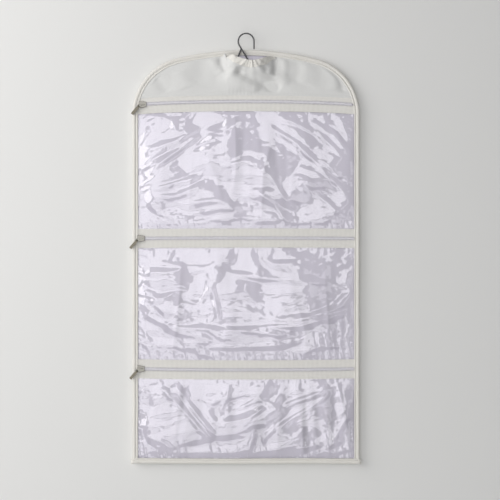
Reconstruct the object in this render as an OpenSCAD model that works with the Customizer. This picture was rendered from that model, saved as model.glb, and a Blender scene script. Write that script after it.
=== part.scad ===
// Hanging jewelry organizer: a bound fabric panel with a steel wire hook, a header with a gathered
// neck, and three clear pockets that close with coil zippers.
// Axes: +X right, +Z up, the pockets face -Y. The origin is where a rail touches the hook's crest.

/* [Panel] */
// Width of the fabric panel over its bound edges
panel_w = 375; // [300:1:460]
// From the crown's top edge down to the first zipper
header_h = 90; // [82:1:130]
// From the first zipper down to the second
top_pocket_h = 221; // [120:1:260]
// From the second zipper down to the third
middle_pocket_h = 215; // [120:1:260]
// From the third zipper down to the bottom edge
bottom_pocket_h = 157; // [80:1:220]
// Radius of the broad crown arc
crown_r = 480; // [380:5:800]
// Radius of the two shoulders
shoulder_r = 95; // [60:1:120]

/* [Layers] */
// Thickness of the back fabric
back_t = 0.5; // [0.3:0.1:1]
// Thickness of the satin lining
lining_t = 0.4; // [0.2:0.1:0.8]
// Thickness of the stiffener board in the header
board_t = 0.8; // [0.4:0.1:1.5]
// Thickness of the header fabric and the zipper tapes
front_t = 0.5; // [0.3:0.1:0.8]
// Thickness of the clear vinyl
vinyl_t = 0.4; // [0.2:0.1:0.6]

/* [Bindings] */
// Width of the folded tape round the sides and the crown
edge_w = 7.5; // [6:0.5:12]
// Width of the folded tape across the bottom
bottom_w = 9; // [6:0.5:14]
// Thickness of the binding tapes
binding_t = 0.6; // [0.4:0.1:1]
// How far each end of the bottom binding sticks out past the side
bottom_tail = 2.5; // [0.5:0.5:5]

/* [Neck] */
// Depth of the neck opening below the crown's top edge
neck_depth = 24.7; // [20:0.1:26]
// Reach of the neck opening to the left of the lowest point
neck_left = 45; // [38:1:60]
// Reach of the neck opening to the right of the lowest point
neck_right = 56; // [40:1:75]
// Where the lowest point of the neck lies, to the right of the hook
neck_x = 8; // [0:1:12]
// How far the gathered neck edge stands forward of the panel
neck_gape = 13; // [12:0.5:16]
// Width of the neck's own binding
neck_w = 5; // [3:0.5:8]
// Puff of the header fabric away from the neck
header_puff = 1.2; // [0.5:0.1:1.5]

/* [Pockets] */
// How far the top window bulges forward
top_bulge = 8; // [6:0.5:14]
// How far the middle window bulges forward
middle_bulge = 8; // [6:0.5:14]
// How far the bottom window bulges forward
bottom_bulge = 7; // [6:0.5:14]
// Depth of vinyl hidden behind the tapes and the bindings
vinyl_lap = 6; // [4:0.5:7]

/* [Zippers] */
// Width of one zipper tape, from the middle of the chain to its outer edge
tape_w = 15.8; // [12:0.1:20]
// Visible width of the top zipper's upper tape below the header fabric
top_tape_w = 11; // [8:0.5:14]
// Distance between neighbouring teeth of one coil
coil_pitch = 2.4; // [2.1:0.1:3.2]
// Width of the meshed chain
chain_w = 5.8; // [5:0.1:6.4]
// Height of the coils above the tape
coil_h = 1.9; // [1.2:0.1:2.4]

/* [Sliders] */
// Length of a slider
slider_l = 12.5; // [11:0.5:16]
// Width of a slider at its forked end
slider_w = 10.6; // [10.2:0.1:13]
// Thickness of a slider's plates
plate_t = 1; // [0.8:0.1:1.4]
// Radius of the two posts under a slider's bail
post_r = 0.8; // [0.6:0.05:0.9]
// Distance between the two posts of a bail
bail_l = 5.4; // [5.2:0.1:6]

/* [Pulls] */
// From the bail's post to the cross bar of a pull link
link_l = 4.6; // [4.2:0.1:6]
// Radius of a pull link's cross bar
bar_r = 0.5; // [0.4:0.05:0.55]
// Length of a pull tab beyond its barrel
tab_l = 17; // [12:0.5:24]
// Width of a pull tab near its free end
tab_w = 4.8; // [4:0.1:6]
// Thickness of a pull tab
tab_t = 1.6; // [1.2:0.1:2]
// Outer radius of a pull tab's barrel
barrel_r = 1.3; // [1.1:0.05:1.6]
// How far a resting pull points below the horizontal, to the left
pull_angle = 49; // [30:1:80]

/* [Hook] */
// Diameter of the hook's wire
wire_d = 2.4; // [1.8:0.1:3]
// Inner diameter of the hook's loop
loop_d = 23.6; // [18:0.2:30]
// From the crest of the loop down to the base bar
hook_drop = 52.6; // [50:0.1:60]
// Length of the loop's straight free end
hook_tip_l = 13; // [6:0.5:18]
// Slope of the long leg, from the vertical
leg_slope = 31; // [26:1:32]
// Slope of the short leg, from the vertical
short_leg_slope = 22; // [16:1:26]
// Straight length of the base bar
base_l = 21; // [20:0.5:24]
// Radius of the two base bends, at the wire's middle
bend_r = 2.5; // [2:0.1:4]
// Width of the webbing tab that holds the base bar
webbing_w = 18; // [14:0.5:19]
// Thickness of the webbing
webbing_t = 1; // [0.6:0.1:1.2]
// Length of webbing sewn flat to the lining
webbing_sewn = 24; // [12:1:28]

/* [Hidden] */
$fn = 48;

// Clearances
wire_gap = 0.1;     // between the hook's two crossing legs
hook_gap = 0.2;     // between the hook and the binding behind it
eye_gap = 0.07;     // round a bar in its eye, on the radius
run_gap = 0.2;      // between a slider and the chain and tape that it runs on
lining_gap = 0.3;   // between a slider and the lining
link_gap = 0.15;    // round the bail's post, on the radius
edge_gap = 0.3;     // between moving or curved pieces and the bindings

// Heights
wire_r = wire_d / 2;
bar_depth = neck_depth + wire_r + 1.1;
bar_z = -hook_drop;
crown_z = bar_z + bar_depth;
top_zip_z = crown_z - header_h;
middle_zip_z = top_zip_z - top_pocket_h;
bottom_zip_z = middle_zip_z - middle_pocket_h;
bottom_z = bottom_zip_z - bottom_pocket_h;
header_z = top_zip_z + top_tape_w;

// Layers, each from its front face
binding_y = wire_r + wire_d + wire_gap + hook_gap;
tape_y = binding_y + binding_t;
vinyl_y = tape_y + front_t;
lining_y = vinyl_y + run_gap + plate_t + lining_gap;
board_y = lining_y + lining_t;
back_y = board_y + board_t;
binding_back_y = back_y + back_t;
binding_depth = binding_back_y + binding_t - binding_y;
coil_y = tape_y - coil_h;
plate_y = coil_y - run_gap - plate_t;
back_plate_y = vinyl_y + run_gap;
pull_y = plate_y - 0.1 - barrel_r;
link_t = 2 * bar_r + 0.2;
bridge_t = 1;
bridge_y = pull_y - link_t / 2 - edge_gap - bridge_t;

// The panel's outline: a crown arc that runs into a shoulder on each side
shoulder_x = panel_w / 2 - shoulder_r;
crown_c = crown_z - crown_r;
shoulder_c = crown_c + sqrt(pow(crown_r - shoulder_r, 2) - pow(shoulder_x, 2));
shoulder_a = atan2(shoulder_c - crown_c, shoulder_x);

function arc(c, r, from, to, n) =
    [for (i = [0 : n]) let (a = from + (to - from) * i / n) c + r * [cos(a), sin(a)]];

function outline(inset, bottom) = let (side = panel_w / 2 - inset) concat(
    [[side, bottom]],
    arc([shoulder_x, shoulder_c], shoulder_r - inset, 0, shoulder_a, 16),
    arc([0, crown_c], crown_r - inset, shoulder_a, 180 - shoulder_a, 28),
    arc([-shoulder_x, shoulder_c], shoulder_r - inset, 180 - shoulder_a, 180, 16),
    [[-side, bottom]]
);

function outline_z(x, inset) = abs(x) < (crown_r - inset) * cos(shoulder_a)
    ? crown_c + sqrt(pow(crown_r - inset, 2) - x * x)
    : shoulder_c + sqrt(max(0, pow(shoulder_r - inset, 2) - pow(abs(x) - shoulder_x, 2)));

function outline_x(z, inset) = shoulder_x + sqrt(pow(shoulder_r - inset, 2) - pow(z - shoulder_c, 2));

function smooth(t) = let (s = min(1, max(0, t))) s * s * (3 - 2 * s);

// A polygon's corners rounded to a radius
function rounded(points, r, n = 5) = [
    for (i = [0 : len(points) - 1])
        let (
            p = points[i],
            a = points[(i + len(points) - 1) % len(points)] - p,
            b = points[(i + 1) % len(points)] - p,
            ua = a / norm(a),
            ub = b / norm(b),
            half = acos(ua * ub) / 2,
            c = p + (ua + ub) / norm(ua + ub) * r / sin(half),
            from = atan2((p + ua * r / tan(half) - c)[1], (p + ua * r / tan(half) - c)[0]),
            to = atan2((p + ub * r / tan(half) - c)[1], (p + ub * r / tan(half) - c)[0]),
            turn = (to - from + 540) % 360 - 180
        )
        for (k = [0 : n]) c + r * [cos(from + turn * k / n), sin(from + turn * k / n)]
];

// A flat shape drawn as X and Z, from y to y + t
module upright(y, t) {
    translate([0, y + t, 0]) rotate([90, 0, 0]) linear_extrude(t) children();
}

// A flat shape drawn as Y and Z, w wide round x
module across(x, w) {
    translate([x - w / 2, 0, 0]) rotate([90, 0, 90]) linear_extrude(w) children();
}

function split(a, b, c, d) = [[a, b, c], [a, c, d]];

// A sheet t thick whose front is place(u, v), with u to the right and v up, both from 0 to 1
module shell(us, vs, t, place) {
    rows = len(vs);
    cols = len(us);
    all = rows * cols;
    front = [for (u = us) for (v = vs) place(u, v)];
    back = [for (p = front) p + [0, t, 0]];
    faces = [
        for (i = [0 : cols - 2]) for (j = [0 : rows - 2])
            let (a = i * rows + j, b = a + 1, c = b + rows, d = a + rows)
            for (f = concat(split(a, b, c, d), split(all + d, all + c, all + b, all + a))) f,
        for (j = [0 : rows - 2]) let (r = (cols - 1) * rows + j)
            for (f = concat(split(all + j, all + j + 1, j + 1, j), split(r, r + 1, all + r + 1, all + r))) f,
        for (i = [0 : cols - 2]) let (a = i * rows, b = a + rows, e = rows - 1)
            for (f = concat(split(a, b, all + b, all + a), split(b + e, a + e, all + a + e, all + b + e))) f
    ];
    polyhedron(concat(front, back), faces);
}

// A skin over rings of points, each ring seen clockwise from the first end
module loft(rings) {
    n = len(rings[0]);
    last = (len(rings) - 1) * n;
    sides = [
        for (i = [0 : len(rings) - 2]) for (k = [0 : n - 1])
            let (a = i * n + k, b = i * n + (k + 1) % n)
            for (f = split(a, a + n, b + n, b)) f
    ];
    half = n / 2;
    caps = [for (k = [0 : half - 2]) let (a = [k, k + 1, n - 2 - k, n - 1 - k])
        for (f = concat(split(a[0], a[1], a[2], a[3]), split(last + a[3], last + a[2], last + a[1], last + a[0]))) f];
    polyhedron([for (ring = rings) for (p = ring) p], concat(caps, sides));
}

/* ---- hook and its tab ---- */

loop_r = loop_d / 2 + wire_r;
loop_c = [0, -loop_d / 2];
leg_dir = [sin(leg_slope), -cos(leg_slope)];
leg_start = loop_c + loop_r * [cos(180 + leg_slope), sin(180 + leg_slope)];
leg_end_z = bar_z + bend_r + bend_r * sin(leg_slope);
leg_l = (leg_start[1] - leg_end_z) / cos(leg_slope);
leg_end = leg_start + leg_l * leg_dir;
right_bend = [leg_end[0] - bend_r * cos(leg_slope), bar_z + bend_r];
left_bend = right_bend - [base_l, 0];
base_x = (right_bend[0] + left_bend[0]) / 2;
short_a = 180 - short_leg_slope;
short_dir = [sin(short_leg_slope), cos(short_leg_slope)];
short_start = left_bend + bend_r * [cos(short_a), sin(short_a)];
// where the two legs cross, as a length along the short one
crossing_l = cross2(leg_start - short_start, leg_dir) / cross2(short_dir, leg_dir);
crossing_h = short_start[1] + crossing_l * short_dir[1] - bar_z;
short_tilt = asin((wire_d + wire_gap) / crossing_h);

function cross2(a, b) = a[0] * b[1] - a[1] * b[0];

// The bends are a hair thinner than the straight runs, which reach a little way into them
module wire_bend(c, r, from, to) {
    translate([c[0], 0, c[1]]) rotate([90, 0, 0]) rotate([0, 0, from])
        rotate_extrude(angle = to - from) translate([r, 0]) circle(wire_r - 0.02);
}

module wire_run(p, dir, l, tip = false) {
    lap = 0.1;
    translate([p[0], 0, p[1]]) rotate([0, atan2(dir[0], dir[1]), 0]) translate([0, 0, -lap])
        if (tip) rotate_extrude() {
            square([wire_r, l + lap - wire_r]);
            translate([0, l + lap - wire_r]) intersection() {
                circle(wire_r);
                square(wire_r);
            }
        }
        else cylinder(h = l + 2 * lap, r = wire_r);
}

module hanging_hook() {
    color("silver") {
        wire_run(loop_c + [loop_r, 0], [0, -1], hook_tip_l, tip = true);
        wire_bend(loop_c, loop_r, 0, 180 + leg_slope);
        wire_run(leg_start, leg_dir, leg_l);
        wire_bend(right_bend, bend_r, -90, leg_slope);
        wire_run([left_bend[0], bar_z], [1, 0], base_l);
        // the short leg leans back about the base bar, and ends behind the long one
        translate([0, 0, bar_z]) rotate([-short_tilt, 0, 0]) translate([0, 0, -bar_z]) {
            wire_bend(left_bend, bend_r, short_a, 270);
            wire_run(short_start, short_dir, crossing_l + wire_r, tip = true);
        }
    }
}

eye_r = wire_r + eye_gap;
strap_r = eye_r + webbing_t;
strap_foot = [lining_y - webbing_t, bar_z - 2 * strap_r - 2 * webbing_t];
strap_end_z = strap_foot[1] - webbing_sewn;

// Folded webbing: an eye for the base bar, and both ends sewn flat to the lining
module hook_tab() {
    run = strap_foot - [0, bar_z];
    side = [-run[1], run[0]] / norm(run) * webbing_t;
    near = [0, bar_z] + run / norm(run) * (eye_r + webbing_t / 2);
    color("gainsboro") difference() {
        union() {
            across(base_x, webbing_w) translate([0, bar_z]) circle(strap_r);
            across(base_x, webbing_w) polygon([
                near - side, near + side, strap_foot + [webbing_t, 0],
                [lining_y, strap_end_z], [lining_y - 2 * webbing_t, strap_end_z], strap_foot - [webbing_t, 0]
            ]);
        }
        across(base_x, webbing_w + 2) translate([0, bar_z]) circle(eye_r);
    }
}

/* ---- flat layers ---- */

seam_rise = 4;

module back_panel() {
    color("whitesmoke") upright(back_y, back_t) polygon(outline(binding_t, bottom_z + binding_t));
}

module header_stiffener() {
    color("tan") upright(board_y, board_t) intersection() {
        polygon(outline(edge_w + 1, header_z - shoulder_r));
        translate([-panel_w / 2, header_z + seam_rise]) square([panel_w, header_h]);
    }
}

// Where the lining is drawn forward and sewn: behind the header hem, and behind each lower window seam
seams = [
    [header_z, vinyl_y],
    [middle_zip_z + tape_w - vinyl_lap / 2, vinyl_y + vinyl_t],
    [bottom_zip_z + tape_w - vinyl_lap / 2, vinyl_y + vinyl_t]
];

function lining_face(back) = concat(
    [[lining_y + back, crown_z]],
    [for (s = seams) for (p = [[lining_y, seam_rise], [s[1], 1], [s[1], -1], [lining_y, -seam_rise]])
        [p[0] + back, s[0] + p[1]]],
    [[lining_y + back, bottom_z]]
);

module lining_panel() {
    lower = lining_face(lining_t);
    color("lavender") intersection() {
        across(0, panel_w) polygon(concat(
            lining_face(0), [for (i = [len(lower) - 1 : -1 : 0]) lower[i]]
        ));
        upright(vinyl_y, board_y - vinyl_y) polygon(outline(binding_t, bottom_z + binding_t));
    }
}

/* ---- header ---- */

neck_z = crown_z - neck_depth;
neck_left_x = neck_x - neck_left;
neck_right_x = neck_x + neck_right;
hem_x = outline_x(header_z, binding_t) - 0.5;
left_rise = 16;
flat_rim = edge_w + 4;    // the header lies flat this far in from the panel's edge
right_rise = 35;
neck_seam = 14;    // the part round the neck starts this far above the hem

function neck_edge(x) =
    let (end = x < neck_x ? neck_left_x : neck_right_x, t = (x - neck_x) / (end - neck_x))
    neck_z + (outline_z(end, edge_w + edge_gap) - neck_z) * t * t;

function in_neck(x) = x > neck_left_x - 0.01 && x < neck_right_x + 0.01;

function header_top(x) = in_neck(x) ? neck_edge(x) : outline_z(x, binding_t + 0.15);

function gape(x) = neck_gape * smooth((x - neck_left_x) / left_rise) * smooth((neck_right_x - x) / right_rise);

// How far the header fabric stands forward at a height
function header_forward(x, z) =
    let (
        v = (z - header_z) / (header_top(x) - header_z),
        p = min(1, max(0, (z - header_z) / (outline_z(x, flat_rim) - header_z))),
        side = max(0, 1 - pow(x / (hem_x - flat_rim), 2))
    )
    gape(x) * pow(v, 1.6) + header_puff * 4 * p * (1 - p) * side;

function spread(a, b, n) = [for (i = [0 : n]) a + (b - a) * i / n];

neck_columns = concat(spread(neck_left_x, neck_left_x + left_rise, 6),
    spread(neck_left_x + left_rise, neck_right_x - right_rise, 6),
    spread(neck_right_x - right_rise, neck_right_x, 8));
neck_stations = [for (i = [0 : len(neck_columns) - 1])
    if (i == 0 || neck_columns[i] - neck_columns[i - 1] > 0.01) neck_columns[i]];

module header_shell() {
    columns = concat(spread(-hem_x, neck_left_x - 0.6, 14), neck_stations, spread(neck_right_x + 0.6, hem_x, 13));
    color("gainsboro") shell(columns, spread(0, 1, 10), front_t, function (x, v)
        let (z = header_z + (header_top(x) - header_z) * v)
        [x, tape_y - header_forward(x, z), z]);
}

// The part that stands out round the neck is a node of its own, cut from the same fabric
module neck_block() {
    low = header_z + neck_seam;
    translate([neck_left_x - 1, tape_y - 40, low]) cube([neck_right_x - neck_left_x + 2, 60, crown_z - low]);
}

module header_panel() {
    difference() {
        header_shell();
        neck_block();
    }
}

module header_neck() {
    intersection() {
        header_shell();
        neck_block();
    }
}

// The folded tape on the neck edge, one cross-section at each station
function neck_ring(x) =
    let (
        top = neck_edge(x),
        low = top - neck_w,
        gap = 0.08,
        wall = binding_t,
        front_top = tape_y - header_forward(x, top) - gap,
        front_low = tape_y - header_forward(x, low) - gap,
        t = front_t + 2 * gap
    )
    [
        [x, front_low, low], [x, front_top, top + gap], [x, front_top + t, top + gap], [x, front_low + t, low],
        [x, front_low + t + wall, low], [x, front_top + t + wall, top + gap + wall],
        [x, front_top - wall, top + gap + wall], [x, front_low - wall, low]
    ];

module neck_binding() {
    inner = [for (x = neck_stations) if (neck_edge(x) < outline_z(x, edge_w + edge_gap) - 1.5 * binding_t) x];
    color("ivory") loft([for (x = inner) neck_ring(x)]);
}

/* ---- bindings ---- */

module edge_binding() {
    color("ivory") difference() {
        upright(binding_y, binding_depth) difference() {
            polygon(outline(0, bottom_z + bottom_w));
            polygon(outline(edge_w, bottom_z - 1));
        }
        upright(tape_y, binding_back_y - tape_y) polygon(outline(binding_t, bottom_z));
    }
}

module bottom_binding() {
    l = panel_w + 2 * bottom_tail;
    color("ivory") across(0, l) difference() {
        translate([binding_y, bottom_z]) square([binding_depth, bottom_w]);
        translate([tape_y, bottom_z + binding_t]) square([binding_back_y - tape_y, bottom_w]);
    }
}

/* ---- zippers ---- */

chain_half = chain_w / 2;
tape_gap = chain_half - 1.4;
diamond_r = tape_gap - run_gap;
diamond_tip = -1.2;
tooth_neck = coil_pitch / 3;
tooth_head = coil_pitch * 0.46;
tooth_tip = 0.9;

// Where a zipper's chain and slider meet the edge binding, which curves in round a high zipper
function chain_end(zip_z) = let (top = zip_z + slider_w / 2)
    (top > shoulder_c ? outline_x(top, edge_w) : panel_w / 2 - edge_w) - edge_gap;

function slider_x(zip_z) = slider_l / 2 - chain_end(zip_z);

// One tape of a zipper: side is 1 above the chain and -1 below it
module tape(zip_z, side, w) {
    low = side > 0 ? zip_z + tape_gap : zip_z - w;
    color("ivory") upright(tape_y, front_t) intersection() {
        polygon(outline(binding_t, bottom_z));
        translate([-panel_w / 2, low]) square([panel_w, w - tape_gap]);
    }
}

// One coil of a zipper: a comb whose headed teeth mesh with the other half's
module coil(zip_z, side) {
    start = slider_x(zip_z) + diamond_tip + edge_gap;
    end = chain_end(zip_z);
    shift = side > 0 ? 0.5 : 1;
    count = floor((end - start) / coil_pitch - shift - 0.3);
    teeth = [for (k = [0 : count]) let (x = start + (k + shift) * coil_pitch)
        for (p = [[-tooth_neck, tape_gap * 2], [-tooth_head, -0.6], [-tooth_head * 0.6, -2 * tooth_tip],
            [tooth_head * 0.6, -2 * tooth_tip], [tooth_head, -0.6], [tooth_neck, tape_gap * 2]])
            [x + p[0] / 2, p[1] / 2]];
    color("white") translate([0, 0, zip_z]) mirror([0, 0, side > 0 ? 0 : 1])
        upright(coil_y, coil_h) polygon(concat(
            [[start, chain_half], [start, tape_gap]], teeth,
            [[end, tape_gap], [end, chain_half]]
        ));
}

/* ---- windows ---- */

// A pillow of clear vinyl, from top_z down to low_z where it shows, flat where it is hidden
module window(top_z, low_z, low_lap, bulge) {
    half = panel_w / 2 - edge_w - edge_gap;
    side = outline_x(max(shoulder_c, top_z + vinyl_lap), binding_t) - edge_gap;
    us = concat([-side], spread(-half, half, 22), [side]);
    vs = concat([low_z - low_lap], spread(low_z, top_z, 12), [top_z + vinyl_lap]);
    color("aliceblue", 0.5) shell(us, vs, vinyl_t, function (x, z)
        let (
            a = max(0, 1 - pow(x / half, 2)),
            m = (2 * z - top_z - low_z) / (top_z - low_z),
            b = max(0, 1 - m * m)
        )
        [x, vinyl_y - bulge * pow(a, 0.7) * b, z]);
}

/* ---- sliders and pulls ---- */

fork_x = -slider_l / 2;
throat_x = slider_l / 2;
channel_r = chain_half + run_gap;
fork_channel_r = slider_w / 2 - 0.75;
throat_r = channel_r + 0.75;
left_post_x = -bail_l * 0.6;
right_post_x = left_post_x + bail_l;

slider_shape = rounded([
    [fork_x, -slider_w / 2], [fork_x + slider_l * 0.4, -slider_w / 2], [throat_x - 3, -throat_r],
    [throat_x, -throat_r], [throat_x, throat_r], [throat_x - 3, throat_r],
    [fork_x + slider_l * 0.4, slider_w / 2], [fork_x, slider_w / 2]
], 0.9, 4);

function shrunk(points, by) = [for (p = points) [p[0] * (1 - 2 * by / slider_l), p[1] * (1 - 2 * by / slider_w)]];

// A plate whose outer edge is chamfered: out is -1 in front and 1 behind
module plate(y, out) {
    chamfer = 0.35;
    hull() {
        upright(out < 0 ? y + chamfer : y, plate_t - chamfer) polygon(slider_shape);
        upright(y, plate_t) polygon(shrunk(slider_shape, chamfer));
    }
}

module post(x) {
    translate([x, plate_y + 0.2, 0]) rotate([90, 0, 0]) cylinder(h = plate_y + 0.2 - bridge_y - 0.2, r = post_r);
}

// Two plates round the chain, a wedge that parts it, and a bail on two posts
module slider(zip_z) {
    channel = [
        [throat_x + 1, -channel_r], [throat_x + 1, channel_r], [0, channel_r], [fork_x - 1, fork_channel_r],
        [fork_x - 1, -fork_channel_r], [0, -channel_r]
    ];
    wedge = [
        [fork_x + 0.3, 0.5], [fork_x + 1.6, diamond_r], [diamond_tip - 2, diamond_r * 0.9], [diamond_tip, 0],
        [diamond_tip - 2, -diamond_r * 0.9], [fork_x + 1.6, -diamond_r], [fork_x + 0.3, -0.5]
    ];
    bridge = concat(
        arc([left_post_x, 0], post_r + 0.15, 90, 270, 10),
        arc([right_post_x, 0], post_r + 0.15, -90, 90, 10)
    );
    color("silver") translate([slider_x(zip_z), 0, zip_z]) {
        plate(plate_y, -1);
        plate(back_plate_y, 1);
        upright(plate_y + plate_t / 2, back_plate_y + plate_t / 2 - plate_y - plate_t / 2) polygon(wedge);
        upright(plate_y + plate_t, tape_y - edge_gap - plate_y - plate_t) difference() {
            polygon(slider_shape);
            polygon(channel);
        }
        post(left_post_x);
        post(right_post_x);
        upright(bridge_y, bridge_t) polygon(bridge);
    }
}

link_wire = 1.1;
link_r = post_r + link_gap + link_wire;
link_half = max(link_r, 1.6) + 1.05;
barrel_l = 2 * (link_half - link_wire) - 0.2;

// Puts a piece drawn along +X on a slider's left post, in its resting direction
module at_post(zip_z) {
    translate([slider_x(zip_z) + left_post_x, pull_y, zip_z]) rotate([0, 180 - pull_angle, 0]) children();
}

// A stamped ring round the post, closed by a round cross bar
module pull_link(zip_z) {
    ring = concat(arc([0, 0], link_r, 90, 270, 14), [
        [link_l - 1, -link_half], [link_l + bar_r + 0.2, -link_half],
        [link_l + bar_r + 0.2, link_half], [link_l - 1, link_half]
    ]);
    hole = concat(arc([0, 0], link_r - link_wire, 90, 270, 14), [
        [link_l - 1, link_wire - link_half], [link_l + bar_r + 1, link_wire - link_half],
        [link_l + bar_r + 1, link_half - link_wire], [link_l - 1, link_half - link_wire]
    ]);
    color("silver") at_post(zip_z) {
        upright(-link_t / 2, link_t) difference() {
            polygon(ring);
            polygon(hole);
        }
        translate([link_l, 0, -link_half + link_wire / 2]) cylinder(h = 2 * link_half - link_wire, r = bar_r);
    }
}

// A slim bar with a sunken face, rolled into a barrel round the link's cross bar
module pull_tab(zip_z) {
    neck_half = barrel_l / 2 - 0.1;
    blade = rounded([
        [0, -neck_half], [2.4, -neck_half], [4.6, -tab_w / 2], [tab_l, -tab_w / 2],
        [tab_l, tab_w / 2], [4.6, tab_w / 2], [2.4, neck_half], [0, neck_half]
    ], 0.6);
    face = rounded([
        [5, 0.9 - tab_w / 2], [tab_l - 1.1, 0.9 - tab_w / 2], [tab_l - 1.1, tab_w / 2 - 0.9], [5, tab_w / 2 - 0.9]
    ], 0.5);
    color("silver") at_post(zip_z) translate([link_l, 0, 0]) difference() {
        union() {
            upright(-tab_t / 2, tab_t) polygon(blade);
            translate([0, 0, -barrel_l / 2]) cylinder(h = barrel_l, r = barrel_r);
        }
        translate([0, 0, -barrel_l]) cylinder(h = 2 * barrel_l, r = bar_r + eye_gap);
        upright(-tab_t, tab_t * 0.75) polygon(face);
        upright(tab_t * 0.25, tab_t) polygon(face);
    }
}

/* ---- the three zipped pockets ---- */

module top_upper_tape() { tape(top_zip_z, 1, top_tape_w); }
module top_lower_tape() { tape(top_zip_z, -1, tape_w); }
module top_upper_coil() { coil(top_zip_z, 1); }
module top_lower_coil() { coil(top_zip_z, -1); }
module top_window() { window(top_zip_z - tape_w, middle_zip_z + tape_w, vinyl_lap, top_bulge); }
module middle_upper_tape() { tape(middle_zip_z, 1, tape_w); }
module middle_lower_tape() { tape(middle_zip_z, -1, tape_w); }
module middle_upper_coil() { coil(middle_zip_z, 1); }
module middle_lower_coil() { coil(middle_zip_z, -1); }
module middle_window() { window(middle_zip_z - tape_w, bottom_zip_z + tape_w, vinyl_lap, middle_bulge); }
module bottom_upper_tape() { tape(bottom_zip_z, 1, tape_w); }
module bottom_lower_tape() { tape(bottom_zip_z, -1, tape_w); }
module bottom_upper_coil() { coil(bottom_zip_z, 1); }
module bottom_lower_coil() { coil(bottom_zip_z, -1); }
module bottom_window() {
    window(bottom_zip_z - tape_w, bottom_z + bottom_w, bottom_w - binding_t - 0.1, bottom_bulge);
}
module top_slider() { slider(top_zip_z); }
module top_pull_link() { pull_link(top_zip_z); }
module top_pull_tab() { pull_tab(top_zip_z); }
module middle_slider() { slider(middle_zip_z); }
module middle_pull_link() { pull_link(middle_zip_z); }
module middle_pull_tab() { pull_tab(middle_zip_z); }
module bottom_slider() { slider(bottom_zip_z); }
module bottom_pull_link() { pull_link(bottom_zip_z); }
module bottom_pull_tab() { pull_tab(bottom_zip_z); }

hanging_hook();
hook_tab();
header_stiffener();
back_panel();
lining_panel();
header_panel();
header_neck();
neck_binding();
edge_binding();
bottom_binding();
top_upper_tape();
top_lower_tape();
top_upper_coil();
top_lower_coil();
top_window();
middle_upper_tape();
middle_lower_tape();
middle_upper_coil();
middle_lower_coil();
middle_window();
bottom_upper_tape();
bottom_lower_tape();
bottom_upper_coil();
bottom_lower_coil();
bottom_window();
top_slider();
top_pull_link();
top_pull_tab();
middle_slider();
middle_pull_link();
middle_pull_tab();
bottom_slider();
bottom_pull_link();
bottom_pull_tab();
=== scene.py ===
import math

import bpy
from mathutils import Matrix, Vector, noise


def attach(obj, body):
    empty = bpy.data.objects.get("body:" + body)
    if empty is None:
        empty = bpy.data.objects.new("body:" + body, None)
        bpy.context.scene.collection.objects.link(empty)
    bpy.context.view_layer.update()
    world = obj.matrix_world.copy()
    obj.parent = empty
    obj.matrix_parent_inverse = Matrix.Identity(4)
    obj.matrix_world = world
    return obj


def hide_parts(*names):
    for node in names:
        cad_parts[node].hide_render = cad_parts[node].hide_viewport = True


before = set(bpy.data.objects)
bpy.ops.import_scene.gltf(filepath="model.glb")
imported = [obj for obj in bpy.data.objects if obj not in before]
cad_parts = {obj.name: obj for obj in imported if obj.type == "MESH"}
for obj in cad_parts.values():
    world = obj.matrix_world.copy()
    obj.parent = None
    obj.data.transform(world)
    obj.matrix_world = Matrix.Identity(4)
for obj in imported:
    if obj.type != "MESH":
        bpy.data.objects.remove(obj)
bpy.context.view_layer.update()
mm = 0.001

studio = {  # in mm where a note says nothing else
    "pixelSize": 1.65,         # what one pixel of the picture covers at the panel's front
    "pictureSize": 500,        # pixels
    "middle": (6.4, -355.6),   # x and z that the camera looks at
    "distance": 2400,
    "panelFront": 4,
    "sensor": 36,
    "wallBehind": 15,          # y of the wall, a little behind the back binding
    "floorDrop": -2600,
    "wallColour": (0.735, 0.735, 0.725),
    "mottle": 0.985,           # the darker clouds in the paint
    "paleLevel": 0.62,         # what the camera and shiny pieces see round the room
    "skyLevel": 0.145,         # what lights the object besides the lamps
    "lampAim": (0, 0, -0.36),  # m
    "lamps": {                 # place in m, size in m, power in W, colour
        "leftSoftbox": ((-1.6, -1.05, 0.25), (1.45, 2.1), 31, (1.0, 0.99, 0.975)),
        "windowSoftbox": ((-0.58, -2.75, 0.05), (1.85, 2.05), 24.5, (1.0, 0.995, 1.0)),
        "rightCard": ((1.15, -2.55, -0.75), (0.55, 1.9), 2.6, (1.0, 1.0, 1.0)),
        "lowCard": ((-0.35, -2.6, -1.7), (2.0, 1.25), 12.6, (1.0, 1.0, 1.0)),
        "backSoftbox": ((0.7, 2.6, 0.4), (1.9, 2.1), 44, (1.0, 1.0, 1.0)),
    },
}


def toMode(mode):
    bpy.ops.object.mode_set(mode=mode)


def clearSelection():
    if bpy.context.object and bpy.context.object.mode != "OBJECT":
        toMode("OBJECT")
    bpy.ops.object.select_all(action="DESELECT")


def pick(piece):
    clearSelection()
    piece.select_set(True)
    bpy.context.view_layer.objects.active = piece


def fillSocket(tree, socket, value):  # links another node's output, or sets a plain value
    if isinstance(value, bpy.types.NodeSocket):
        tree.links.new(value, socket)
    else:
        socket.default_value = value


def addNode(tree, kind, **settings):  # a setting names one of the node's inputs or one of its options
    node = tree.nodes.new(kind)
    for key, value in settings.items():
        if key in node.inputs:
            fillSocket(tree, node.inputs[key], value)
        else:
            setattr(node, key, value)
    return node


def mathNode(tree, operation, first, second):
    node = addNode(tree, "ShaderNodeMath", operation=operation)
    fillSocket(tree, node.inputs[0], first)
    fillSocket(tree, node.inputs[1], second)
    return node.outputs[0]


def noiseNode(tree, place, scale, detail, twist=0.0):
    node = addNode(tree, "ShaderNodeTexNoise", Vector=place, Scale=scale, Detail=detail, Distortion=twist)
    return node.outputs["Fac"]


def objectPlace(tree):
    return addNode(tree, "ShaderNodeTexCoord").outputs["Object"]


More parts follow.
